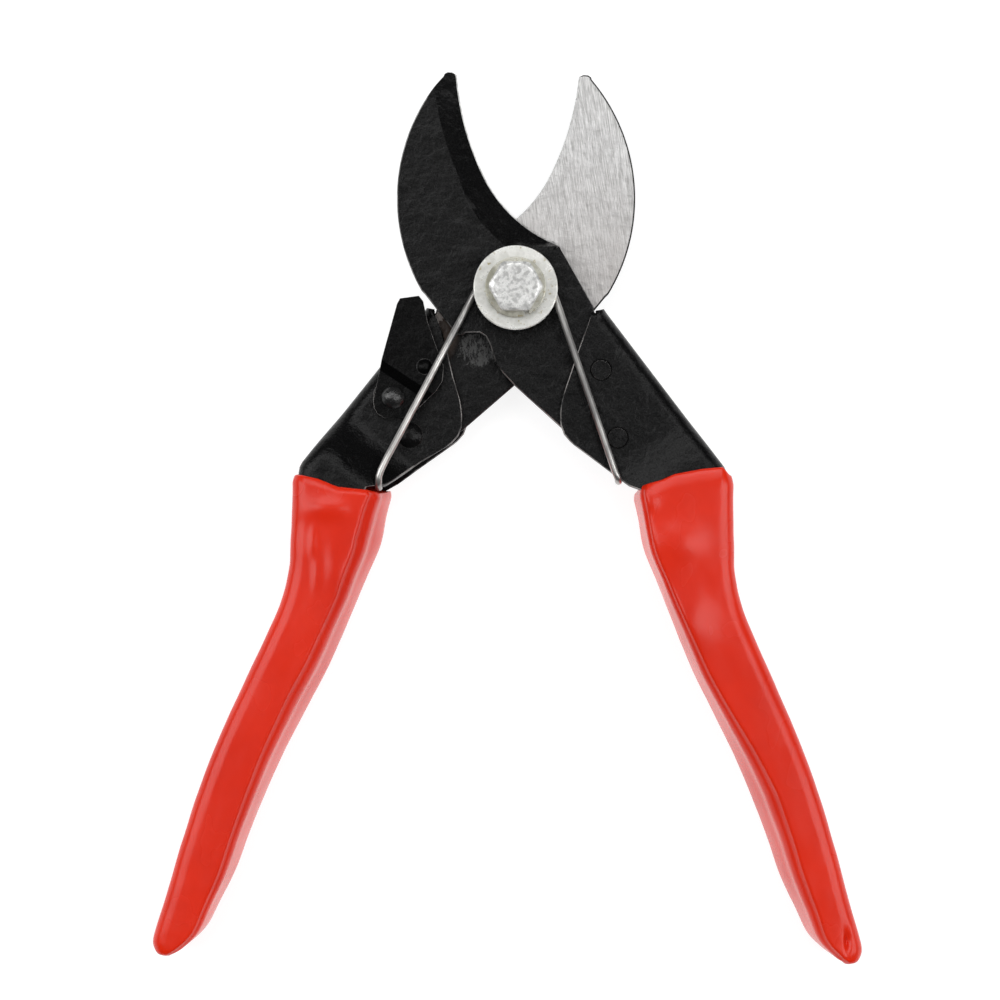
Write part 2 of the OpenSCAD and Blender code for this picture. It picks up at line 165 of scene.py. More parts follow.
def coordinates(tree, kind="Object"):
    """Texture coordinates of one kind; Object is the piece's own frame in metres."""
    return add_node(tree, "TexCoord").outputs[kind]


def one_axis(tree, vector, axis):
    """One of a vector's X, Y and Z."""
    return add_node(tree, "SeparateXYZ", {0: vector}).outputs[axis]


def noise_field(tree, scale, stretch=(1, 1, 1), detail=4.0, roughness=0.55, at=(0, 0, 0), turn=0.0):
    """Noise in the piece's own coordinates, turned about Z and then stretched along an axis if asked."""
    facing = add_node(tree, "VectorRotate", {"Vector": coordinates(tree), "Angle": math.radians(turn)})
    placed = add_node(tree, "Mapping", {
        "Vector": facing.outputs["Vector"], "Scale": stretch, "Location": at})
    field = add_node(tree, "TexNoise", {
        "Vector": placed.outputs["Vector"], "Scale": scale, "Detail": detail, "Roughness": roughness})
    return field.outputs["Fac"]


def ramp(tree, factor, stops):
    """Colour ramp from (position, colour) pairs; a number stands for a grey."""
    made = add_node(tree, "ValToRGB", {"Fac": factor})
    elements = made.color_ramp.elements
    while len(elements) < len(stops):
        elements.new(0.5)
    for element, (position, colour) in zip(elements, stops):
        element.position = position
        element.color = (colour,) * 3 + (1,) if isinstance(colour, (int, float)) else (*colour, 1)
    return made.outputs["Color"]


def maths(tree, operation, a, b=0.0, c=0.5, clamp=False):
    """Result of a math node; c only matters to operations on three values."""
    return add_node(tree, "Math", {0: a, 1: b, 2: c}, operation=operation, use_clamp=clamp).outputs[0]


def mixed(tree, factor, a, b):
    """Colour a where the factor is 0 and b where it is 1."""
    made = add_node(tree, "Mix", data_type="RGBA")
    for key, value in ((0, factor), (6, a), (7, b)):
        if isinstance(value, bpy.types.NodeSocket):
            tree.links.new(value, made.inputs[key])
        else:
            made.inputs[key].default_value = value if key == 0 else (*value, 1)
    return made.outputs[2]


def bumps(tree, layers):
    """Normal from (height, strength, distance in metres) layers, one on top of the other."""
    normal = None
    for height, strength, distance in layers:
        inputs = {"Height": height, "Strength": strength, "Distance": distance}
        if normal is not None:
            inputs["Normal"] = normal
        normal = add_node(tree, "Bump", inputs).outputs["Normal"]
    return normal


def shader(name, **sockets):
    """Principled material; keys are socket names with _ for a space."""
    material = bpy.data.materials.new(name)
    material.use_nodes = True
    tree = material.node_tree
    surface = tree.nodes["Principled BSDF"]

    def put(**values):
        for key, value in values.items():
            socket = surface.inputs[key.replace("_", " ")]
            if isinstance(value, bpy.types.NodeSocket):
                tree.links.new(value, socket)
            else:
                socket.default_value = value
    put(**sockets)
    return material, tree, put


def paint(name, tone=1.0, gloss=0.19, bright=None, worn=None):
    """Semi-gloss black paint over rough metal.

    bright makes a mask of ground steel, whose colour is darkened towards the handles as painted shade, in
    place of the light's reflection fading there.
    worn makes the mask and the tint of worn patches.
    """
    material, tree, put = shader(name, Specular_IOR_Level=gloss)
    blotch = noise_field(tree, 110, detail=3)
    dark = tuple(c * tone for c in (0.0014, 0.0014, 0.0015))
    pale = tuple(c * tone for c in (0.0038, 0.0038, 0.004))
    colour = ramp(tree, blotch, [(0.3, dark), (0.7, pale)])
    grain = noise_field(tree, 1700, detail=5, roughness=0.7)
    rough = ramp(tree, grain, [(0.25, 0.2), (0.75, 0.34)])
    swell = noise_field(tree, 170, detail=2, at=(0.1, 0.7, 0))
    pits = noise_field(tree, 480, detail=4, roughness=0.65, at=(0.3, 0.1, 0))
    normal = bumps(tree, [(swell, 0.6, 0.0006), (pits, 0.8, 0.0003), (grain, 0.5, 0.00006)])
    if bright is not None:
        mask = bright(tree)
        lines = noise_field(tree, 6500, (1, 0.045, 1), detail=4, roughness=0.7, at=(0, 0, 0.2), turn=-9)
        cloud = noise_field(tree, 160, (1, 0.5, 1), detail=3)
        brushed = ramp(tree, lines, [(0.36, (0.38, 0.375, 0.37)), (0.62, (0.78, 0.775, 0.77))])
        # painted shade: the steel darkens towards the handles (low Y), standing in for the fading
        # reflection of the light overhead; the cloud adds real mottling
        low = maths(tree, "MULTIPLY_ADD", one_axis(tree, coordinates(tree), "Y"), -22.0, 0.65, clamp=True)
        shade = maths(tree, "MULTIPLY", maths(tree, "ADD", cloud, 0.35), low)
        steel = mixed(tree, shade, brushed, (0.44, 0.41, 0.395))
        colour = mixed(tree, mask, colour, steel)
        rough = mixed(tree, mask, rough, (0.42,) * 3)
        put(Metallic=maths(tree, "MULTIPLY", mask, 0.55))
    if worn is not None:
        patch, tint = worn(tree)
        colour = mixed(tree, patch, colour, tint)
    put(Base_Color=colour, Roughness=rough, Normal=normal)
    return material


def metal(name, dark, light, rough=(0.22, 0.42), scale=260, speckle=None, stretch=(1, 1, 1), metallic=0.9):
    """Plated or drawn metal with mottling and fine scratches, and specks of the colour speckle."""
    material, tree, put = shader(name, Metallic=metallic)
    mottle = noise_field(tree, scale, stretch, detail=5)
    fine = noise_field(tree, 2600, stretch, detail=4, roughness=0.7)
    colour = ramp(tree, mottle, [(0.4, dark), (0.6, light)])
    if speckle:
        spots = ramp(tree, noise_field(tree, 900, at=(0.5, 0.2, 0)), [(0.6, 0.0), (0.7, 1.0)])
        colour = mixed(tree, spots, colour, speckle)
    put(Base_Color=colour, Roughness=ramp(tree, mottle, [(0.3, rough[1]), (0.7, rough[0])]),
        Normal=bumps(tree, [(mottle, 0.25, 0.0001), (fine, 0.25, 0.00003)]))
    return material


def pvc(name):
    """Glossy dipped PVC with faint sags and pores."""
    material, tree, put = shader(
        name, IOR=1.48, Specular_IOR_Level=0.4, Subsurface_Weight=0.05, Subsurface_Scale=0.001,
        Subsurface_Radius=(1.0, 0.2, 0.1))
    blotch = noise_field(tree, 45, detail=3)
    sag = noise_field(tree, 130, (1, 0.5, 1), detail=2)
    pore = noise_field(tree, 1400, detail=3)
    put(Base_Color=ramp(tree, blotch, [(0.15, (0.72, 0.018, 0.003)), (0.85, (0.95, 0.03, 0.005))]),
        Roughness=ramp(tree, sag, [(0.1, 0.17), (0.9, 0.34)]),
        Normal=bumps(tree, [(sag, 0.2, 0.0004), (pore, 0.06, 0.00003)]))
    return material


def rubbed(start, end, most):
    """Mask of bare metal on an edge: nothing where a noise is below start, most where it is above end."""
    return lambda tree: ramp(tree, noise_field(tree, 190, detail=4), [(start, 0.0), (end, most)])


def flat_face(side, low_y):
    """Mask of the ground flat face of a blade: side is its normal's Z, low_y where the grinding fades."""
    def mask(tree):
        upward = one_axis(tree, coordinates(tree, "Normal"), "Z")
        facing = maths(tree, "GREATER_THAN", maths(tree, "MULTIPLY", upward, side), 0.98)
        ragged = maths(tree, "MULTIPLY", maths(tree, "SUBTRACT", noise_field(tree, 260), 0.5), 0.012)
        place = maths(tree, "ADD", one_axis(tree, coordinates(tree), "Y"), ragged)
        above = maths(tree, "GREATER_THAN", place, low_y)
        return maths(tree, "MULTIPLY", facing, above)
    return mask


def zone(tree, centre, size):
    """1 inside an ellipse in plan, in metres, falling to 0 at its rim."""
    to_centre, to_unit = (-centre[0], -centre[1], 0), (1 / size[0], 1 / size[1], 0)
    moved = add_node(tree, "VectorMath", {0: coordinates(tree), 1: to_centre}, operation="ADD")
    scaled = add_node(tree, "VectorMath", {0: moved.outputs[0], 1: to_unit}, operation="MULTIPLY")
    length = add_node(tree, "VectorMath", {0: scaled.outputs[0]}, operation="LENGTH").outputs["Value"]
    return maths(tree, "SUBTRACT", 1.0, length, clamp=True)


def rear_wear(tree):
    """Mask and tint of the rear blade's brown strip by the latch and its chipped patch, front face only."""
    strip = maths(tree, "MULTIPLY", zone(tree, (-0.0158, -0.0076), (0.0045, 0.0085)), 3.0, clamp=True)
    area = maths(tree, "MULTIPLY", zone(tree, (-0.0079, -0.0125), (0.008, 0.007)), 1.8, clamp=True)
    flakes = noise_field(tree, 1300, (1, 0.45, 1), detail=5, roughness=0.8)
    chips = maths(tree, "GREATER_THAN", maths(tree, "MULTIPLY", area, flakes), 0.49)
    tint = mixed(tree, chips, (0.085, 0.058, 0.044), (0.078, 0.078, 0.077))
    rub = maths(tree, "MULTIPLY", strip, noise_field(tree, 300, (1, 0.4, 1), detail=5))
    front = maths(tree, "GREATER_THAN", one_axis(tree, coordinates(tree, "Normal"), "Z"), 0.5)
    patch = maths(tree, "MAXIMUM", maths(tree, "MULTIPLY", chips, 0.85), rub)
    return maths(tree, "MULTIPLY", patch, front), tint


# ---- mesh helpers ----
def add_mesh(name, points, faces, material, smooth=True):
    """Mesh object from points in millimetres, with its faces turned outwards."""
    mesh = bpy.data.meshes.new(name)
    mesh.from_pydata([tuple(float(c) * MM for c in p) for p in points], [], faces)
    work = bmesh.new()
    work.from_mesh(mesh)
    bmesh.ops.remove_doubles(work, verts=work.verts, dist=1e-7)
    bmesh.ops.recalc_face_normals(work, faces=work.faces)
    for face in work.faces:
        face.smooth = smooth
    work.to_mesh(mesh)
    work.free()
    obj = bpy.data.objects.new(name, mesh)
    bpy.context.scene.collection.objects.link(obj)
    mesh.materials.append(material)
    return obj


def loft_faces(rings, sides, closed=True, caps=True):
    """Quads between rings of points, with a fan over each end."""
    faces = []
    span = sides if closed else sides - 1
    for r in range(rings - 1):
        for i in range(span):
            j = (i + 1) % sides
            faces.append((r * sides + i, r * sides + j, (r + 1) * sides + j, (r + 1) * sides + i))
    if caps:
        faces.append(tuple(range(sides)))
        faces.append(tuple((rings - 1) * sides + i for i in reversed(range(sides))))
    return faces


def turned(points):
    """Right-half points turned over about the Y axis, for the left half."""
    p = np.array(points, float)
    p[:, 0] *= -1
    p[:, 2] = 2 * mid_z - p[:, 2]
    return p


def mirrored(points):
    """Right-half points mirrored to the left half, with the same side to the front."""
    p = np.array(points, float)
    p[:, 0] *= -1
    return p


def spline(points, u):
    """Point on a Catmull-Rom curve through the points; whole values of u fall on them."""
    p = np.asarray(points, float)
    k = min(int(u), len(p) - 2)
    t = u - k
    a, b, c, d = p[max(k - 1, 0)], p[k], p[k + 1], p[min(k + 2, len(p) - 1)]
    square, cube = 2 * a - 5 * b + 4 * c - d, 3 * b - a - 3 * c + d
    return 0.5 * (2 * b + (c - a) * t + square * t ** 2 + cube * t ** 3)


def ease(x):
    """Smooth step from 0 to 1."""
    c = min(1.0, max(0.0, x))
    return c * c * (3 - 2 * c)


def add_bevel(obj, width):
    """Bevel on the sharp edges of obj; returns the modifier."""
    bevel = obj.modifiers.new("bevel", "BEVEL")
    bevel.width = width * MM
    bevel.segments = 2
    bevel.limit_method = "ANGLE"
    bevel.angle_limit = math.radians(30)
    bevel.harden_normals = True
    return bevel


def apply_modifiers(obj):
    """Makes the shape that obj's modifiers give its own mesh."""
    bpy.context.view_layer.update()
    mesh = bpy.data.meshes.new_from_object(obj.evaluated_get(bpy.context.evaluated_depsgraph_get()))
    obj.modifiers.clear()
    obj.data = mesh


def arc(centre, radius, start, end, count):
    """Points on an arc between two angles in degrees."""
    return [centre + radius * np.array([math.cos(a), math.sin(a)])
            for a in np.radians(np.linspace(start, end, count))]


def circle(centre, radius, count):
    """Closed ring of points."""
    return arc(np.array(centre), radius, 0, 360, count + 1)[:-1]


def drill_holes(obj, centres, radius, place):
    """Round holes through obj, parallel to Z."""
    for centre in centres:
        points = [(*p, z) for z in (-5.0, 30.0) for p in circle(centre, radius, 32)]
        cutter = add_mesh("cutter", place(points), loft_faces(2, 32), BLACK, smooth=False)
        drill = obj.modifiers.new("drill", "BOOLEAN")
        drill.operation = "DIFFERENCE"
        drill.object = cutter
        drill.solver = "EXACT"
        apply_modifiers(obj)
        bpy.data.objects.remove(cutter)


# ---- handle channels ----
def along(p):
    """Distance of p along the web."""
    return float((p - WEB_START) @ WEB_DIR)


def level(p, front, deep):
    """Height of a flange at p: straight by the tang, deeper towards the grip."""
    return front + (deep - front) * ease((along(p) - JOG_START) / JOG_LENGTH)


def edge_point(edge, t):
    """Point of a flange's free edge at distance t along the web."""
    ts = [along(p) for p in edge]
    return np.array([np.interp(t, ts, edge[:, 0]), np.interp(t, ts, edge[:, 1])])


def polyline_point(points, share):
    """Point at a share of a polyline's length."""
    steps = np.cumsum([0] + [np.linalg.norm(b - a) for a, b in zip(points[:-1], points[1:])])
    at = share * steps[-1]
    p = np.array(points)
    return np.array([np.interp(at, steps, p[:, 0]), np.interp(at, steps, p[:, 1])])


def crease_width(crease_at, y):
    """How far the grip's crease lies in from its inner edge, at y."""
    return float(np.interp(y, *zip(*crease_at)))


def channel_sections(crease_top, crease_low):
    """(web point, inward direction, top edge, low edge) along the channel."""
    web_set_back, edge_lead, lead_in = 0.9, 1.1, 6

    def station(k, crease_at):
        a, b = GRIP_OUTER[k], GRIP_INNER[k]
        v = (b - a) / np.linalg.norm(b - a)
        return a + SKIN * v, v, b - (SKIN + crease_width(crease_at, b[1])) * v
    sections = []
    for t in np.concatenate([np.linspace(0.05, lead_in, 9), np.linspace(7, JOG_START, 22)]):
        lag = max(0.0, 1 - t / lead_in)
        sections.append((WEB_START + (t + web_set_back * lag) * WEB_DIR, WEB_IN,
                         edge_point(OUTER_EDGE, t), edge_point(INNER_EDGE, t + edge_lead * lag)))
    first = station(0, crease_top)
    web = [WEB_START + t * WEB_DIR for t in (JOG_START, 42, 43.6)] + [first[0]]
    tops = [edge_point(OUTER_EDGE, JOG_START)] + [p for p in OUTER_EDGE if along(p) > JOG_START]
    lows = [edge_point(INNER_EDGE, JOG_START)] + [p for p in INNER_EDGE if along(p) > JOG_START]
    tops.append(first[2])
    lows.append(station(0, crease_low)[2])
    for share in np.linspace(0, 1, 15)[1:]:
        inward = WEB_IN + (first[1] - WEB_IN) * ease((share - 0.6) / 0.4)
        sections.append((polyline_point(web, share), inward / np.linalg.norm(inward),
                         polyline_point(tops, share), polyline_point(lows, share)))
    for k in range(1, 12):
        place, v, top = station(k, crease_top)
        sections.append((place, v, top, station(k, crease_low)[2]))
    return sections


def channel_points(sections, radius=2.9, flange_steps=12, bend_steps=6):
    """Outer skin of the channel, ring by ring from the top flange's edge to the low one's."""
    points = []
    for web, inward, top_edge, low_edge in sections:
        reach_top, reach_low = (top_edge - web) @ inward, (low_edge - web) @ inward
        bend_top, bend_low = min(radius, 0.7 * reach_top), min(radius, 0.7 * reach_low)
        to_top, to_low = web + bend_top * inward - top_edge, web + bend_low * inward - low_edge
        top_line = [top_edge + to_top * i / flange_steps for i in range(flange_steps)]
        low_line = [low_edge + to_low * i / flange_steps for i in range(flange_steps)]
        points += [(*p, level(p, TANG_TOP, DEEP_TOP)) for p in top_line]
        for height, side, bend, angles in (
                (level(web, TANG_TOP, DEEP_TOP), -1, bend_top, np.linspace(0, 90, bend_steps)),
                (level(web, TANG_LOW, DEEP_LOW), 1, bend_low, np.linspace(90, 0, bend_steps))):
            for a in np.radians(angles):
                p = web + bend * (1 - math.sin(a)) * inward
                points.append((*p, height + side * bend * (1 - math.cos(a))))
        points += [(*p, level(p, TANG_LOW, DEEP_LOW)) for p in reversed(low_line)]
    return points, 2 * flange_steps + 2 * bend_steps


def mark_sharp_edges(obj, angle, high_y):
    """Gives the sharp edges of obj below high_y a bevel weight."""
    work = bmesh.new()
    work.from_mesh(obj.data)
    weight = work.edges.layers.float.new("bevel_weight_edge")
    for edge in work.edges:
        sharp = edge.calc_face_angle(0) > math.radians(angle)
        if sharp and max(v.co.y for v in edge.verts) < high_y * MM:
            edge[weight] = 1
    work.to_mesh(obj.data)
    work.free()


def make_channel(name, node, body, crease_top, crease_low, place, edge):
    """Channel of sheet with worn edges and drilled rivet holes; edge is the edges' material."""
    sections = channel_sections(crease_top, crease_low)
    points, count = channel_points(sections)
    faces = loft_faces(len(sections), count, closed=False, caps=False)
    obj = add_mesh(name, place(points), faces, BLACK)
    solid = obj.modifiers.new("sheet", "SOLIDIFY")
    solid.thickness = SHEET * MM
    solid.offset = -1
    solid.use_quality_normals = True
    obj.data.materials.append(edge)
    apply_modifiers(obj)
    mark_sharp_edges(obj, angle=50, high_y=-5.5)
    bevel = add_bevel(obj, 0.22)
    bevel.limit_method = "WEIGHT"
    bevel.material = 1
    bevel.use_clamp_overlap = False
    drill_holes(obj, RIVETS, CHANNEL_HOLE_R, place)
    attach(obj, body)
    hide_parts(node)


# ---- blades ----
def blade_outline():
    """Plan of the blade: its back, the tang, the cutting edge's two arcs and the tip."""
    back = arc(BACK_C, BACK_R, 139.2, 210.4, 60)
    edge = arc(HEEL_C, HEEL_R, 246.2, 206.2, 30) + arc(TIP_C, TIP_R, 205.4, 184.9, 30)
    return back + [np.array(p, float) for p in TANG] + edge + [np.array(p) for p in TIP]


def edge_distance(p):
    """Distance of p from the cutting edge's two arcs."""
    from_heel = p - HEEL_C
    turn = math.atan2(from_heel[1], from_heel[0]) % (2 * math.pi)
    if turn > JOIN:
        return float(np.linalg.norm(from_heel) - HEEL_R)
    return float(np.linalg.norm(p - TIP_C) - TIP_R)


def ground_width(y):
    """Width of the ground bevel at y: a little more towards the heel."""
    return BEVEL_W + 1.1 * ease((26 - y) / 12)


def blade_height(p):
    """Thickness of the blade at p: full, ground down towards the cutting edge."""
    full = blade_top - blade_low
    d = edge_distance(p)
    rise = (full - EDGE_T) / ground_width(p[1])
    ground = EDGE_T + rise * d
    if d <= MICRO_W:
        ground = HONED_T + (EDGE_T + rise * MICRO_W - HONED_T) * max(d, 0) / MICRO_W
    # at the heel the bevel runs out on a slanted line
    run_out = ease((HEEL_END + 0.6 - p[1] - 0.02 * p[0]) / 0.9)
    return min(full, max(ground, full * run_out))


def resample(points, step):
    """Closed outline with extra points so that no side is longer than step."""
    made = []
    for a, b in zip(points, points[1:] + points[:1]):
        count = max(1, int(math.ceil(np.linalg.norm(b - a) / step)))
        made += [a + (b - a) * i / count for i in range(count)]
    return made


def inside(p, polygon):
    """Whether p lies in a polygon, by the crossings of a line to its right."""
    crossing = False
    for a, b in zip(polygon, polygon[1:] + polygon[:1]):
        if (a[1] > p[1]) != (b[1] > p[1]) and p[0] < (b[0] - a[0]) * (p[1] - a[1]) / (b[1] - a[1]) + a[0]:
            crossing = not crossing
    return crossing


def near_outline(p, outline, reach):
    """Whether a corner of the outline is nearer to p than reach."""
    return min(np.linalg.norm(np.array(outline) - p, axis=1)) < reach


def plan_mesh(outline, holes, lines, step):
    """Triangles over a plan outline with holes, with rows of points along the given lines."""
    def on_sheet(p):
        return inside(p, outline) and not any(inside(p, hole) for hole in holes)

    clear_of_rim, longest_side = 0.12, 1.5
    loops = [outline] + holes
    points, edges = [], []
    for loop in loops:
        base = len(points)
        points += list(loop)
        edges += [(base + i, base + (i + 1) % len(loop)) for i in range(len(loop))]
    for line in lines:
        kept = [q for q in line if inside(q, outline) and not near_outline(q, outline, clear_of_rim)]
        base = len(points)
        points += kept
        for i in range(len(kept) - 1):
            if np.linalg.norm(kept[i + 1] - kept[i]) < longest_side:
                edges.append((base + i, base + i + 1))
    fixed = np.array(points)
    low, high = fixed.min(axis=0), fixed.max(axis=0)
    for row, y in enumerate(np.arange(low[1], high[1], step * 0.87)):
        for x in np.arange(low[0] + (row % 2) * step / 2, high[0], step):
            p = np.array([x, y])
            if np.min(np.linalg.norm(fixed - p, axis=1)) > step * 0.5 and on_sheet(p):
                points.append(p)
    found, _, faces, *_ = geometry.delaunay_2d_cdt([Vector(p) for p in points], edges, [], 0, 1e-6)
    found = [np.array(p) for p in found]
    return found, [tuple(face) for face in faces if on_sheet(sum(found[i] for i in face) / 3)]


def inset_outline(outline, widths):
    """Outline moved inwards, each point by its own width."""
    moved = []
    befores, afters = outline[-1:] + outline[:-1], outline[1:] + outline[:1]
    for before, p, after, width in zip(befores, outline, afters, widths):
        ahead = (after - before) / np.linalg.norm(after - before)
        inward = np.array([-ahead[1], ahead[0]])
        if not inside(p + inward * 0.05, outline):
            inward = -inward
        moved.append(p + inward * width)
    return moved


def make_blade(name, node, body, place, rim, materials):
    """Blade with its ground bevel, thin edge, chamfered rim, bore and rivet holes.

    rim is the chamfer's width; materials are the paint, the rim's and the cutting edge's.
    """
    full = blade_top - blade_low
    outer = resample(blade_outline(), 0.9)
    chamfers = [min(rim, 0.3 * blade_height(p)) for p in outer]
    outline = inset_outline(outer, chamfers)
    holes = [circle((0.0, 0.0), BORE_R, 32)] + [circle(p, RIVET_R, 24) for p in RIVETS]
    lines = []
    # rows of points where the honed strip and the ground bevel end, the latter widening at the heel
    for d in (MICRO_W, BEVEL_W):
        row = arc(HEEL_C, HEEL_R + d, 252, 206.2, 60) + arc(TIP_C, TIP_R + d, 206.1, 176, 70)
        if d == BEVEL_W:
            row = [q - (HEEL_C - q) / np.linalg.norm(HEEL_C - q) * (ground_width(q[1]) - d) for q in row]
        lines.append(row)
    points, faces = plan_mesh(outline, holes, lines, 1.0)
    count = len(points)
    solid = [(*p, blade_low) for p in points]
    for p in points:
        lift = blade_height(p)
        if lift > full - 0.01:  # the flat is a little uneven, as forged
            lift += noise.noise(Vector((p[0], p[1], 0)) * 0.35) * 0.05
        solid.append((*p, blade_low + lift))
    # each point on the sheet's rim gets two on the wall, above and below
    rim_of = {}
    for p, wall, chamfer in zip(outline, outer, chamfers):
        rim_of[int(np.argmin(np.linalg.norm(np.array(points) - p, axis=1)))] = len(solid)
        solid += [(*wall, blade_low + chamfer), (*wall, blade_low + blade_height(wall) - chamfer)]
    # a side that only one face has is on the rim or round a hole
    sides = {}
    for face in faces:
        for a, b in zip(face, face[1:] + face[:1]):
            sides[frozenset((a, b))] = None if frozenset((a, b)) in sides else (a, b)
    walls = []
    for a, b in (pair for pair in sides.values() if pair):
        if a not in rim_of or b not in rim_of:
            walls.append((b, a, a + count, b + count))
            continue
        up_a, up_b = (a, rim_of[a], rim_of[a] + 1, a + count), (b, rim_of[b], rim_of[b] + 1, b + count)
        for i in range(3):
            walls.append((up_b[i], up_a[i], up_a[i + 1], up_b[i + 1]))
    top = [tuple(i + count for i in face) for face in faces]
    obj = add_mesh(name, place(solid), [tuple(reversed(f)) for f in faces] + top + walls, materials[0])
    for extra in materials[1:]:
        obj.data.materials.append(extra)
    # place is its own inverse, so it also takes a face back to the right half's plan
    for face in obj.data.polygons:
        middle = place([np.array(face.center) / MM])[0]
        if edge_distance(middle[:2]) < MICRO_W and middle[1] > HEEL_END:
            face.material_index = 2
        elif 0.3 < abs(face.normal.z) < 0.85 and edge_distance(middle[:2]) > BEVEL_W + 2:
            face.material_index = 1
    obj.data.set_sharp_from_angle(angle=math.radians(22))
    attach(obj, body)
    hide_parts(node)


# ---- grips ----
def grip_profile(width, crease, inset, low, high, radius):
    """Section of the sleeve as (distance from the outer edge, height) pairs.

    It starts at the crease, runs over the top and the outer side and back underneath; inset shrinks it.
    """
    width -= 2 * inset
    low, high, radius = low + inset, high - inset, max(0.3, radius - inset)
    radius = min(radius, (high - low) / 2 - 0.05, width / 2 - 0.05)
    front = max(width - crease, radius + 0.3)
    bead = min(0.8, (front - radius) / 2)
    edge = min(1.5, width / 3, (high - low) / 4)
    points = [(c, high) for c in np.linspace(front - bead, radius, 18)]
    points += arc((radius, high - radius), radius, 90, 180, 9)[1:]
    points += arc((radius, low + radius), radius, 180, 270, 9)
    points += [(c, low) for c in np.linspace(radius, width - edge, 8)[1:]]
    points += arc((width - edge, low + edge), edge, -90, 0, 6)[1:]
    # up the inner side to the crease's ledge, and over the bead beside it
    step = min(crease, (high - low) / 3)
    slope = ((0.58, 1.3), (0.56, 0.95), (0.52, 0.66), (0.46, 0.45), (0.36, 0.29), (0.2, 0.14), (0.0, 0.0))
    ledge = [(front + across * crease, high - bead - drop * step) for across, drop in slope]
    foot = (width, low + edge)
    for t in np.linspace(0, 1, 7)[1:-1]:
        across = foot[0] + (ledge[0][0] - foot[0]) * t ** 1.25
        points.append((across, foot[1] + (ledge[0][1] - foot[1]) * t))
    points += ledge
    points += arc((front - bead, high - bead), bead, 0, 90, 6)[1:-1]
    half = width / 2
    crown = min(0.15, 0.01 * width)

    def crowned(c, z):
        """Height z with the flat sides made faintly round."""
        return z - crown * ((c - half) / half) ** 2 * math.copysign(1, z - (low + high) / 2)
    return [(c + inset, crowned(c, z)) for c, z in points]


def grip_ring(u, crease_at, inset):
    """Ring of the sleeve at place u along its edges, closing towards the tip."""
    a, b = spline(GRIP_OUTER, u), spline(GRIP_INNER, u)
    w = np.linalg.norm(b - a)
    v = (b - a) / w
    last, closing, tip_shrink, corner_r = len(GRIP_OUTER) - 1, 2.2, 4.6, 3.0
    close = max(0.0, (u - (last - closing)) / closing)
    shrink = tip_shrink * (1 - math.sqrt(max(0.0, 1 - close ** 2.4)))
    crease = min(crease_width(crease_at, b[1]), w * 0.45)
    profile = grip_profile(w, crease, inset, shrink, grip_top - shrink, corner_r)
    return np.array([(*(a + c * v), z) for c, z in profile])


def film_sag(p):
    """How far the dipped film stands out at p: slow waves and finer ones."""
    return noise.noise(Vector(p) * 0.16) * 0.11 + noise.noise(Vector(p) * 0.55) * 0.035


def make_grip(name, node, body, crease_at, top_edge, swells, place, material):
    """Dipped sleeve: rings down the handle, with the film's thin wavy edge at the top and its swells."""
    mouth = [(0.0, 1.35), (0.0, 0.85), (0.015, 0.6), (0.06, 0.45), (0.14, 0.32), (0.24, 0.16), (0.33, 0.04)]
    full_size = np.concatenate([
        np.arange(0.4, 1.0, 0.1), np.arange(1.0, 12.6, 0.16), np.linspace(12.65, len(GRIP_OUTER) - 1, 16)])
    stops = mouth + [(u, 0.0) for u in full_size]
    # one step of u is some 7.3 mm; what the film's edge adds fades over 9 mm
    step, fade = 7.3, 9
    start, end = GRIP_OUTER[0], GRIP_INNER[0]
    rings = []
    xs, ys = zip(*sorted(top_edge))
    for u, inset in stops:
        ring = grip_ring(u, crease_at, inset)
        hold = (1 - min(1.0, u * step / fade)) ** 2
        for p in ring:
            line = start[1] + (end[1] - start[1]) * (start[0] - p[0]) / (start[0] - end[0])
            front = np.interp(p[0], xs, ys) - line
            back = 0.8 * math.sin(p[0] * 0.35)
            share = ease(p[2] / grip_top)
            p[1] += hold * (share * front + (1 - share) * back)
            for x, y, wide, long, rise in swells:
                p[2] += share * rise * math.exp(-((p[0] - x) / wide) ** 2 - ((p[1] - y) / long) ** 2)
            if inset == 0:
                across = p - ring.mean(axis=0)
                p += film_sag(p) * across / np.linalg.norm(across)
        rings.append(ring)
    obj = add_mesh(name, place(np.concatenate(rings)), loft_faces(len(rings), len(rings[0])), material)
    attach(obj, body)
    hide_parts(node)


# ---- spring ----
def spring_path():
    """Centre line of the wire: left hook, left leg, two turns and more, right leg, right hook."""
    rise = COIL_PITCH * COIL_ANGLE / 360

    def coil(share):
        a = math.radians(LEG_L - COIL_ANGLE * share)
        return np.array([COIL_R * math.cos(a), COIL_R * math.sin(a), COIL_Z + rise * share])
    knots = [np.array(p) for p in LEFT_HOOK] + [LEFT_LEG_END]
    knots += [LEFT_LEG_END + (coil(0) - LEFT_LEG_END) * s for s in (0.2, 0.45, 0.7, 0.9)]
    steps = 64
    knots += [coil(i / steps) for i in range(steps + 1)]
    knots += [coil(1) + (RIGHT_LEG_END - coil(1)) * s for s in (0.1, 0.3, 0.55, 0.8)]
    knots += [RIGHT_LEG_END] + [np.array(p) for p in RIGHT_HOOK]
    return [spline(knots, u) for u in np.arange(0, len(knots) - 1 + 1e-9, 1 / 3)]


def tube(path, radius, sides):
    """Ring points round a path, carried along without twist."""
    points = []
    side = None
    for i, p in enumerate(path):
        ahead = path[min(i + 1, len(path) - 1)] - path[max(i - 1, 0)]
        ahead = ahead / np.linalg.norm(ahead)
        if side is None:
            side = np.cross(ahead, (0.3, 0.9, 0.1))  # any direction across the start
        side = side - ahead * (side @ ahead)
        side = side / np.linalg.norm(side)
        up = np.cross(ahead, side)
        for j in range(sides):
            a = 2 * math.pi * j / sides
            points.append(p + radius * (math.cos(a) * side + math.sin(a) * up))
    return points


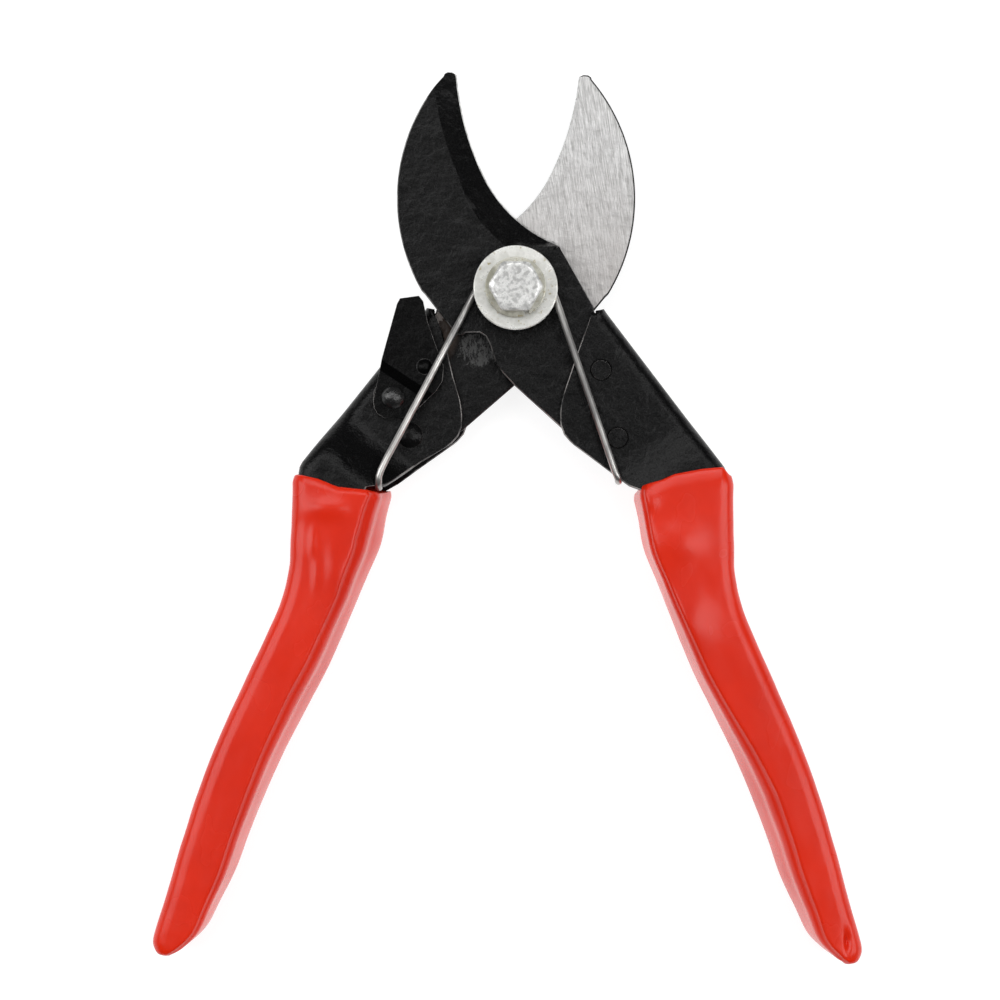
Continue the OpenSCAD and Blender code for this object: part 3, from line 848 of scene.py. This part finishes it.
# ---- pivot bolt ----
def make_bolt(name, node, body, material):
    """Shank with a hexagon on it that has a chamfered, faintly dished top."""
    sides = 96
    flat_r, corner_r = HEX_AF * 0.462, HEX_AF * 0.555
    head_top = bolt_high[2]

    def ring_at(kind, a):
        """Radius and height of one ring at angle a."""
        reach = min(HEX_AF / 2 / math.cos(a % (math.pi / 3) - math.pi / 6), corner_r)
        chamfer = head_top - (reach - flat_r) * 0.4
        return {
            "shank": (SHANK_R, 0), "foot": (SHANK_R, head_low),
            "low": (reach - 0.15, head_low), "wall": (reach, head_low + 0.15),
            "high": (reach, chamfer - 0.12), "rim": (reach - 0.14, chamfer),
            "flat": (flat_r + 0.12, head_top - 0.06), "top": (flat_r - 0.15, head_top),
            "dish": (flat_r * 0.8, head_top - 0.03), "middle": (flat_r * 0.5, head_top - 0.06),
            "eye": (0.3, head_top - 0.07)}[kind]

    kinds = ("shank", "foot", "low", "wall", "high", "rim", "flat", "top", "dish", "middle", "eye")
    points = []
    for kind in kinds:
        for i in range(sides):
            a = 2 * math.pi * i / sides
            r, z = ring_at(kind, a)
            points.append((r * math.cos(a), r * math.sin(a), z))
    obj = add_mesh(name, points, loft_faces(len(kinds), sides), material)
    obj.data.set_sharp_from_angle(angle=math.radians(40))
    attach(obj, body)
    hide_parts(node)


# ---- materials ----
BLACK = paint("black_paint")
# painted shade: the latch's paint is a darker, duller copy of the black paint, standing in for the shade
# its low lobe lies in
SHADED_LATCH_BLACK = paint("shaded_latch_paint", tone=0.5, gloss=0.1)
# painted highlight: the rivets' paint is a lighter, glossier copy of the black paint, its doubled tone a
# painted highlight on the latch rivet and the upper left rivet, which catch the light
LIT_RIVET_BLACK = paint("lit_rivet_paint", tone=2.0, gloss=0.8)
RED = pvc("red_pvc")
ZINC = metal(
    "zinc_plate", (0.72, 0.72, 0.68), (1.0, 1.0, 0.96), scale=420, speckle=(0.4, 0.33, 0.15), metallic=0.35)
HEX_ZINC = metal(
    "mottled_zinc", (0.52, 0.52, 0.51), (1.0, 1.0, 0.98), rough=(0.24, 0.38), scale=1100, metallic=0.3)
# partly painted shade: the lock washer's zinc is tan, its own colour, and darker than the other zinc, which
# paints the dark frame of shade round the hex head
LOCK_ZINC = metal(
    "tan_zinc_and_painted_shade", (0.36, 0.35, 0.28), (0.76, 0.75, 0.66), speckle=(0.35, 0.28, 0.12), metallic=0.5)
WIRE = metal("spring_wire", (0.24, 0.235, 0.23), (0.55, 0.54, 0.52), rough=(0.25, 0.4), stretch=(1, 0.2, 1))
EDGE_WEAR = paint("worn_edge", gloss=0.5, bright=rubbed(0.4, 0.6, 0.65))
EDGE_RUBBED = paint("rubbed_edge", gloss=0.5, bright=rubbed(0.32, 0.54, 0.75))
CUT_EDGE = metal("cutting_edge", (0.5, 0.5, 0.49), (0.85, 0.85, 0.84), scale=900, metallic=0.6)
FRONT_BLADE = paint("front_blade_paint", bright=flat_face(-1, -0.006))
REAR_BLADE = paint("rear_blade_ground", bright=flat_face(1, -0.0055), worn=rear_wear)

# ---- build ----
make_blade(
    "front_blade_forged", "front_blade", "right_half", np.array, 0.2, [FRONT_BLADE, EDGE_WEAR, CUT_EDGE])
make_blade("rear_blade_forged", "rear_blade", "left_half", turned, 0.32, [REAR_BLADE, BLACK, CUT_EDGE])
make_channel(
    "right_channel_sheet", "right_channel", "right_half", RIGHT_CREASE, NO_CREASE, np.array, EDGE_RUBBED)
make_channel("left_channel_sheet", "left_channel", "left_half", NO_CREASE, LEFT_CREASE, turned, EDGE_WEAR)
make_grip(
    "right_grip_skin", "right_grip", "right_half", RIGHT_CREASE, RIGHT_TOP, RIGHT_SWELLS, np.array, RED)
make_grip("left_grip_skin", "left_grip", "left_half", LEFT_CREASE, LEFT_TOP, LEFT_SWELLS, mirrored, RED)

path = spring_path()
spring = add_mesh("spring_wire", tube(path, WIRE_R, WIRE_SIDES), loft_faces(len(path), WIRE_SIDES), WIRE)
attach(spring, "right_half")
spring.parent = None
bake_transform(spring)
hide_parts("return_spring")

make_bolt("pivot_bolt_hex", "pivot_bolt", "right_half", HEX_ZINC)

# CAD pieces that stay, with their material and the width of their bevelled edges
for node, material, width in (
        ("pivot_nut", ZINC, 0.25), ("rear_washer", ZINC, 0.2), ("front_washer", ZINC, 0.3),
        ("lock_washer", LOCK_ZINC, 0.2), ("spring_collar", ZINC, 0.2), ("safety_latch", SHADED_LATCH_BLACK, 0.22),
        ("latch_rivet", LIT_RIVET_BLACK, 0.15), ("latch_washer", SHADED_LATCH_BLACK, 0.08),
        ("right_rivet_upper", BLACK, 0.45), ("right_rivet_lower", BLACK, 0.45),
        ("left_rivet_upper", LIT_RIVET_BLACK, 0.15), ("left_rivet_lower", BLACK, 0.15)):
    part = nodes[node]
    part.data.materials.clear()
    part.data.materials.append(material)
    part.modifiers.new("weld", "WELD").merge_threshold = 1e-6
    rim = add_bevel(part, width)
    if material in (BLACK, SHADED_LATCH_BLACK):
        part.data.materials.append(EDGE_WEAR)
        rim.material = 1

# ---- floor, light and camera ----
floor_mat, floor_tree, floor_put = shader("pale_floor", Roughness=0.9, Emission_Color=(1, 1, 1, 1),
                                          Emission_Strength=0.86)
floor_put(Base_Color=ramp(floor_tree, noise_field(floor_tree, 3), [(0.3, 0.29), (0.7, 0.31)]))
FLOOR = 4000  # half its width in millimetres
floor = add_mesh("floor", [(-FLOOR, -FLOOR, 0), (FLOOR, -FLOOR, 0), (FLOOR, FLOOR, 0), (-FLOOR, FLOOR, 0)],
                 [(0, 1, 2, 3)], floor_mat)
floor.location.z = -0.0002

world = bpy.data.worlds.new("studio")
bpy.context.scene.world = world
world.use_nodes = True
sky = world.node_tree
sky_height = one_axis(sky, coordinates(sky, "Generated"), "Z")
sky_tone = ramp(sky, sky_height, [
    (0.0, 0.42), (0.12, 0.2), (0.4, 0.06), (0.7, 0.07), (0.9, 0.16), (1.0, 0.32)])
sky.links.new(sky_tone, sky.nodes["Background"].inputs["Color"])


def softbox(name, place, size, power):
    """Rectangular light at place, turned to the shears and hidden from the camera."""
    light = bpy.data.lights.new(name, "AREA")
    light.shape = "RECTANGLE"
    light.size, light.size_y = size
    light.energy = power
    obj = bpy.data.objects.new(name, light)
    obj.location = place
    obj.rotation_euler = (-Vector(place)).to_track_quat("-Z", "Y").to_euler()
    obj.visible_camera = False
    bpy.context.scene.collection.objects.link(obj)


softbox("left_box", (-0.95, 0.15, 1.1), (0.65, 1.5), 8.8)
softbox("right_box", (0.98, -0.1, 1.1), (0.65, 1.5), 8.8)
softbox("back_box", (0.0, 0.66, 1.25), (1.3, 0.45), 5.0)

CAMERA_HEIGHT = 0.6
camera = bpy.data.cameras.new("camera")
camera.sensor_width = 36
camera.lens = 101.9
view = bpy.data.objects.new("camera", camera)
view.location = (-0.0027, -0.0443, mid_z * MM + CAMERA_HEIGHT)
view.rotation_euler = (0, 0, math.radians(0.7))
bpy.context.scene.collection.objects.link(view)
bpy.context.scene.camera = view
bpy.context.scene.view_settings.view_transform = "Standard"

bpy.context.view_layer.update()
